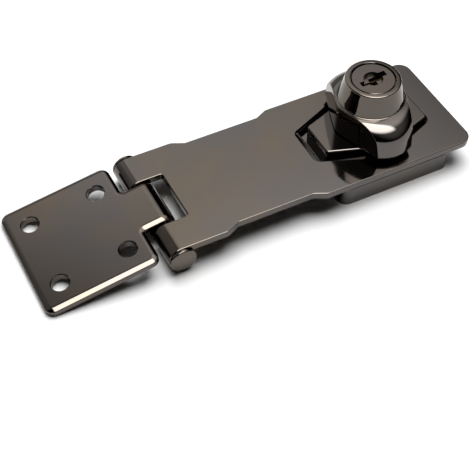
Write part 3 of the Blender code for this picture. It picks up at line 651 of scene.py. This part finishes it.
def base_half(inset, corner):
    """The +Y half of the base's square outline, drawn in by this much."""
    length = (BASE_HIGH.x - BASE_LOW.x) / 2 - inset
    width = BASE_HIGH.y - inset
    return rounded([(length, 0, 0), (length, width, corner), (-length, width, corner), (-length, 0, 0)])


def base_box():
    """The square box, still solid, with its upper rim rounded."""
    bm = plate(base_half(0, BASE_CORNER), 0, BASE_HEIGHT)
    ease(bm, BASE_HEIGHT, BASE_EDGE, BASE_EDGE_STEPS)
    mirror_half(bm)
    return bm


def base_boss():
    """The raised boss, which reaches down into the box's roof."""
    hexagon = long_hex_half(BOSS_LENGTH, BOSS_END, BOSS_SLOPE, BOSS_ROUND, WAIST_ROUND)
    outline = rounded([(BOSS_LENGTH / 2, 0, 0), *hexagon, (-BOSS_LENGTH / 2, 0, 0)])
    bm = plate(outline, BASE_HEIGHT - BASE_ROOF / 2, BASE_HIGH.z)
    ease(bm, BASE_HIGH.z, BOSS_EDGE, BOSS_EDGE_STEPS)
    mirror_half(bm)
    return bm


def base_hollow():
    """The cutter that leaves the box's walls and roof."""
    bm = plate(base_half(BASE_WALL, BASE_CORNER - BASE_WALL), -BASE_HEIGHT, BASE_HEIGHT - BASE_ROOF)
    mirror_half(bm)
    return bm


def screw_posts(obj):
    """Four posts under the base's roof, with countersunk holes from above."""
    inside = BASE_HEIGHT - BASE_ROOF / 2
    above = BASE_HEIGHT + BASE_ROOF
    post = [(0, inside), (SCREW_POST / 2, inside), (SCREW_POST / 2, POST_CLEAR), (0, POST_CLEAR)]
    sink = [(0, above), (SCREW_SINK / 2, above), (SCREW_SINK / 2, BASE_HEIGHT),
            (SCREW_HOLE / 2, BASE_HEIGHT - SCREW_SINK_DEPTH), (SCREW_HOLE / 2, -BASE_ROOF), (0, -BASE_ROOF)]
    length = (BASE_HIGH.x - BASE_LOW.x) / 2 - SCREW_INSET
    width = BASE_HIGH.y - SCREW_INSET
    places = [(along * length, across * width, 0) for along in (-1, 1) for across in (-1, 1)]
    for place in places:
        combine(obj, move(turned(post, POST_STEPS), place), "UNION")
    for place in places:
        combine(obj, move(turned(sink, POST_STEPS), place))


def bolt_notches(obj):
    """Notches beside the stem's bore that the bolt enters when the knob lies across or along the arm."""
    side = BOLT_HIGH.y + SLIDE_FIT
    low = BOLT_LOW.z - SLIDE_FIT
    high = BOLT_HIGH.z + SLIDE_FIT
    combine(obj, block((0, -side, low), (BOLT_NOTCH, side, high)))
    combine(obj, block((-side, 0, low), (side, BOLT_NOTCH, high)))


def lock_base():
    """Hollow casting: square box, raised boss, four screw posts and a bore for the knob's stem."""
    obj = mesh_object("base_casting", base_box())
    combine(obj, base_boss(), "UNION")
    combine(obj, base_hollow())
    screw_posts(obj)
    above = BASE_HIGH.z + BOSS_EDGE
    bore = [(0, above), (STEM_BORE, above), (STEM_BORE, STEM_BORE_FOOT), (0, STEM_BORE_FOOT)]
    combine(obj, turned(bore, STEM_BORE_STEPS))
    bolt_notches(obj)
    obj.data.transform(Matrix.Translation(((BASE_LOW.x + BASE_HIGH.x) / 2, 0, BASE_LOW.z)))
    finish_piece(obj, "base_and_arm", CAST_NICKEL, "lock_base")


# Knob

def shoulder_profile():
    """The wings' end from roof to lip, as gaps from its furthest reach and heights."""
    low = ROOF - SHOULDER_RADIUS
    gap = SHOULDER_RADIUS / math.cos(KNOB_LEAN) + (low - KNOB_BOTTOM) * math.tan(KNOB_LEAN)
    profile = []
    for step in range(SHOULDER_ARC_STEPS + 1):
        turn = math.pi / 2 + (KNOB_LEAN - math.pi / 2) * step / SHOULDER_ARC_STEPS
        profile.append((gap - SHOULDER_RADIUS * math.cos(turn), low + SHOULDER_RADIUS * math.sin(turn)))
    start_gap, start = profile[-1]
    lip_gap = KNOB_LIP * math.tan(KNOB_LEAN)
    lip = KNOB_BOTTOM + KNOB_LIP
    for step in range(1, LEAN_STEPS + 1):
        share = step / LEAN_STEPS
        profile.append((start_gap + (lip_gap - start_gap) * share, start + (lip - start) * share))
    return profile


def knob_shoulder(across, along):
    """Top of the wings in this direction, over an end that bows like an arc of KNOB_END_ROUND."""
    bow = across ** 2 / (2 * KNOB_END_ROUND)
    points = []
    for gap, height in shoulder_profile():
        reach = KNOB_REACH - gap
        points.append(Vector((2 * reach / (along + math.sqrt(along ** 2 + 4 * bow * reach)), height)))
    return points


def knob_section(across, along):
    """Skin of the knob in the direction (across, along), from the bore's rim to the wings' foot."""
    top = KNOB_HIGH.z
    waist = math.hypot(along, KNOB_WAIST_SOFTNESS) * math.sin(KNOB_SLOPE)
    flank = KNOB_WAIST * math.cos(KNOB_SLOPE) / (math.cos(KNOB_SLOPE) * across + waist)
    fillet_end = HEAD_FOOT_RADIUS + HEAD_FILLET
    rim_centre = (HEAD_RADIUS - HEAD_RIM, top - HEAD_RIM)
    rim = [Vector(point) for point in arc(rim_centre, HEAD_RIM, 90, 0, RIM_STEPS)]
    crease = bend(rim[-1], (HEAD_FOOT_RADIUS, ROOF), (fillet_end, ROOF), HEAD_FILLET, CREASE_STEPS)
    cone = [rim[-1].lerp(crease[0], step / CONE_STEPS) for step in range(1, CONE_STEPS)]

    shoulder = [point for point in knob_shoulder(across, along) if point.x > crease[-1].x]
    shoulder = cut_at([crease[-1], *shoulder], flank)
    foot = (shoulder[-1].x, KNOB_BOTTOM)
    edge = bend(shoulder[-2], shoulder[-1], foot, FLANK_EDGE, FLANK_EDGE_STEPS)
    while len(shoulder) > 2 and shoulder[-2].x > edge[0].x:
        shoulder.pop(-2)
    shoulder[-1] = edge[0]

    wall_foot = Vector((edge[-1].x, KNOB_BOTTOM + KNOB_EASE))
    wall = [edge[-1].lerp(wall_foot, step / WALL_STEPS) for step in range(1, WALL_STEPS + 1)]
    under = Vector((edge[-1].x - KNOB_EASE, KNOB_BOTTOM))
    bore_rim = Vector((FACE_BORE + RIM_EASE, top))
    return [bore_rim, *rim, *cone, *crease, *evenly(shoulder, SHOULDER_POINTS)[1:-1], *edge, *wall, under]


def knob_inside():
    """Profile of the stem and the bore, from the wings' underside back to the head's rim."""
    top = KNOB_HIGH.z
    seat = top - FACE_HEIGHT - FACE_SEAT
    return [(STEM_RADIUS, KNOB_BOTTOM), (STEM_RADIUS, KNOB_LOW.z), (STEM_INSIDE, KNOB_LOW.z),
            (STEM_INSIDE, KNOB_BOTTOM), (CHAMBER_RADIUS, CHAMBER_FLOOR), (CHAMBER_RADIUS, seat),
            (FACE_BORE, seat), (FACE_BORE, top - RIM_EASE), (FACE_BORE + RIM_EASE, top)]


def draw_out_wings(bm, row, rows):
    """Moves the turned skin's points, up to this row, to the section of their own direction."""
    columns = {}
    for vert in bm.verts:
        if vert[row] >= rows:
            continue
        direction = vert.co.xy.normalized()
        key = (round(abs(direction.x), 6), round(abs(direction.y), 6))
        if key not in columns:
            columns[key] = knob_section(*key)
        radius, height = columns[key][vert[row]]
        vert.co = (direction.x * radius, direction.y * radius, height)


def knob_openings(obj):
    """Grooves that the wafers spring into, and the bolt's window in the stem."""
    reach = WAFER_REACH + SLIDE_FIT
    side = WAFER_SIDE + SLIDE_FIT
    high = PLUG_HIGH.z - FACE_HEIGHT
    combine(obj, block((-reach, -side, high - WAFER_ROOM), (reach, side, high)))
    combine(obj, block((-side, -reach, high - WAFER_ROOM), (side, reach, high)))
    side = BOLT_HIGH.y + SLIDE_FIT
    combine(obj, block((0, -side, BOLT_LOW.z - SLIDE_FIT), (STEM_BORE, side, BOLT_HIGH.z + SLIDE_FIT)))


def knob_housing():
    """Twist knob: turned in one piece, its skin then drawn out into two wings across the arm."""
    skin = knob_section(1, 0)
    bm = bmesh.new()
    row = bm.verts.layers.int.new("row")
    verts = []
    for number, (radius, height) in enumerate([*skin, *knob_inside()]):
        vert = bm.verts.new((radius, 0, height))
        vert[row] = number
        verts.append(vert)
    turn_round(bm, verts, KNOB_STEPS)
    draw_out_wings(bm, row, len(skin))
    face_outwards(bm, merge=True)
    obj = mesh_object("knob_casting", bm)
    knob_openings(obj)
    obj.data.transform(Matrix.Translation((KNOB_AXIS.x, 0, 0)))
    finish_piece(obj, "knob", CAST_NICKEL, "knob_housing")


# Plug

def keyway(obj):
    """Two overlapping slots, each off centre to its own side."""
    top = PLUG_HIGH.z
    for side in (-1, 1):
        ends = sorted((side * KEYWAY_LENGTH / 2, -side * KEYWAY_WIDTH / 2))
        middle = side * KEYWAY_OFFSET
        low = (ends[0], middle - KEYWAY_WIDTH / 2, top - KEYWAY_DEPTH)
        high = (ends[1], middle + KEYWAY_WIDTH / 2, top + PAST)
        combine(obj, block(low, high))


def wafer_slots(obj):
    """A slot across the plug for each wafer, with a pocket beside it for its ear and spring."""
    side = WAFER_SIDE + SLIDE_FIT
    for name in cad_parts:
        if name.startswith("wafer_") and not name.startswith("wafer_spring"):
            low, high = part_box(name)
            ear = high.y + SLIDE_FIT
            slot = [(-FACE_RADIUS, -side), (FACE_RADIUS, -side), (FACE_RADIUS, side), (POCKET_END, side),
                    (POCKET_END, ear), (POCKET_START, ear), (POCKET_START, side), (-FACE_RADIUS, side)]
            combine(obj, plate(slot, low.z - SLIDE_FIT, high.z + SLIDE_FIT))


def key_plug():
    """Plug with a satin face, a round recess and a stepped keyway."""
    top = PLUG_HIGH.z
    neck = top - PLUG_LENGTH
    face_foot = top - FACE_HEIGHT
    profile = [(0, top), (FACE_RADIUS - FACE_EASE, top), (FACE_RADIUS, top - FACE_EASE),
               (FACE_RADIUS, face_foot), (PLUG_RADIUS, face_foot), (PLUG_RADIUS, neck),
               (PLUG_NECK_RADIUS, neck), (PLUG_NECK_RADIUS, PLUG_LOW.z), (0, PLUG_LOW.z)]
    obj = mesh_object("plug_face", turned(profile, PLUG_STEPS))
    sunk = top - RECESS_DEPTH
    recess = [(0, top + PAST), (RECESS_RADIUS + RECESS_RIM, top + PAST),
              (RECESS_RADIUS + RIM_EASE, top - RIM_EASE), (RECESS_RADIUS, top - RECESS_RIM),
              (RECESS_RADIUS, sunk), (0, sunk)]
    combine(obj, turned(recess, RECESS_STEPS))
    keyway(obj)
    wafer_slots(obj)
    obj.data.transform(Matrix.Translation((KNOB_AXIS.x, 0, 0)))
    finish_piece(obj, "plug", FACE_NICKEL, "key_plug", sharp=FACE_SHARP_ANGLE)


def inner_works():
    """Materials for the solids that stay as the model has them."""
    finishes = {"locking_bolt": STEEL, "drive_crank": STEEL, "stop_washer": STEEL, "spring_washer": STEEL,
                "retaining_screw": STEEL, "bolt_guide": ZINC}
    for name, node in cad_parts.items():
        if name.startswith("wafer_spring"):
            material = STEEL
        elif name.startswith("wafer"):
            material = BRASS
        else:
            material = finishes.get(name)
        if material:
            for slot in node.material_slots:
                slot.material = material


# Studio

def camera():
    """The photograph's viewpoint: 26 degrees round to the left of the front, 48 degrees up."""
    data = bpy.data.cameras.new("camera")
    data.sensor_width = SENSOR_MM
    data.lens = FOCAL_PIXELS * SENSOR_MM / FRAME_PIXELS
    data.shift_x = (FRAME_PIXELS / 2 - CENTRE_PIXEL_X) / FRAME_PIXELS
    data.shift_y = (CENTRE_PIXEL_Y - FRAME_PIXELS / 2) / FRAME_PIXELS
    data.clip_start = CLIP_NEAR
    data.clip_end = CLIP_FAR
    obj = bpy.data.objects.new("camera", data)
    obj.location = VIEWPOINT
    obj.rotation_euler = (math.pi / 2 - VIEW_ELEVATION, 0, VIEW_AZIMUTH)
    bpy.context.scene.collection.objects.link(obj)
    bpy.context.scene.camera = obj


def heading(azimuth, elevation):
    """Unit vector towards a compass azimuth (clockwise from +Y) and elevation, in degrees."""
    turn = math.radians(azimuth)
    rise = math.radians(elevation)
    return Vector((math.sin(turn) * math.cos(rise), math.cos(turn) * math.cos(rise), math.sin(rise)))


def surroundings():
    """Dark room with soft bright panels, seen only in the metal."""
    world = bpy.data.worlds.new("studio")
    bpy.context.scene.world = world
    world.use_nodes = True
    world.cycles_visibility.diffuse = False
    nodes = world.node_tree.nodes
    links = world.node_tree.links
    place = nodes.new("ShaderNodeTexCoord").outputs["Generated"]

    def faded(direction, low, high, strength=1.0):
        """Light that grows with the cosine towards a direction, from none at low to full at high."""
        aim = nodes.new("ShaderNodeVectorMath")
        aim.operation = "DOT_PRODUCT"
        aim.inputs[1].default_value = direction
        links.new(place, aim.inputs[0])
        fade = nodes.new("ShaderNodeMapRange")
        fade.interpolation_type = "SMOOTHSTEP"
        fade.inputs["From Min"].default_value = low
        fade.inputs["From Max"].default_value = high
        fade.inputs["To Max"].default_value = strength
        links.new(aim.outputs["Value"], fade.inputs["Value"])
        return fade.outputs["Result"]

    def joined(operation, first, second):
        node = nodes.new("ShaderNodeMath")
        node.operation = operation
        links.new(first, node.inputs[0])
        links.new(second, node.inputs[1])
        return node.outputs["Value"]

    lights = []
    for azimuth, elevation, inner, outer, strength in PANELS:
        dark = math.cos(math.radians(outer))
        full = math.cos(math.radians(inner))
        lights.append(faded(heading(azimuth, elevation), dark, full, strength))
    front = faded(heading(*FRONT_TOWARDS), FRONT_DARK, FRONT_FULL, FRONT_STRENGTH)
    for direction, low, high in FRONT_TRIMS:
        front = joined("MULTIPLY", front, faded(direction, low, high))
    lights.append(front)
    total = lights[0]
    for light in lights[1:]:
        total = joined("ADD", total, light)
    background = nodes["Background"]
    background.inputs["Color"].default_value = LIGHT_WHITE
    links.new(total, background.inputs["Strength"])


def floor():
    """Plain matt floor, left out of the model."""
    bm = bmesh.new()
    bmesh.ops.create_grid(bm, x_segments=1, y_segments=1, size=FLOOR_HALF)
    obj = mesh_object("floor", bm)
    material = bpy.data.materials.new("white_floor")
    material.use_nodes = True
    shader = material.node_tree.nodes["Principled BSDF"]
    shader.inputs["Base Color"].default_value = (FLOOR_WHITE, FLOOR_WHITE, FLOOR_WHITE, 1)
    shader.inputs["Roughness"].default_value = 1
    shader.inputs["Specular IOR Level"].default_value = 0
    obj.data.materials.append(material)


def overhead_lamp():
    """Wide soft lamp that lights the floor and casts the shadows, but isn't mirrored in the metal."""
    data = bpy.data.lights.new("overhead", "AREA")
    data.shape = "SQUARE"
    data.size = LAMP_SIZE
    data.energy = LAMP_POWER
    obj = bpy.data.objects.new("overhead", data)
    obj.location = LAMP_PLACE
    obj.rotation_euler = (-Vector(LAMP_PLACE)).to_track_quat("-Z", "Y").to_euler()
    obj.visible_glossy = False
    bpy.context.scene.collection.objects.link(obj)


def studio():
    """Room, floor and lamp, seen through the plain view transform."""
    surroundings()
    floor()
    overhead_lamp()
    bpy.context.scene.view_settings.view_transform = "Standard"


hasp_arm()
hinge_leaf()
hinge_pin()
lock_base()
knob_housing()
key_plug()
inner_works()
camera()
studio()
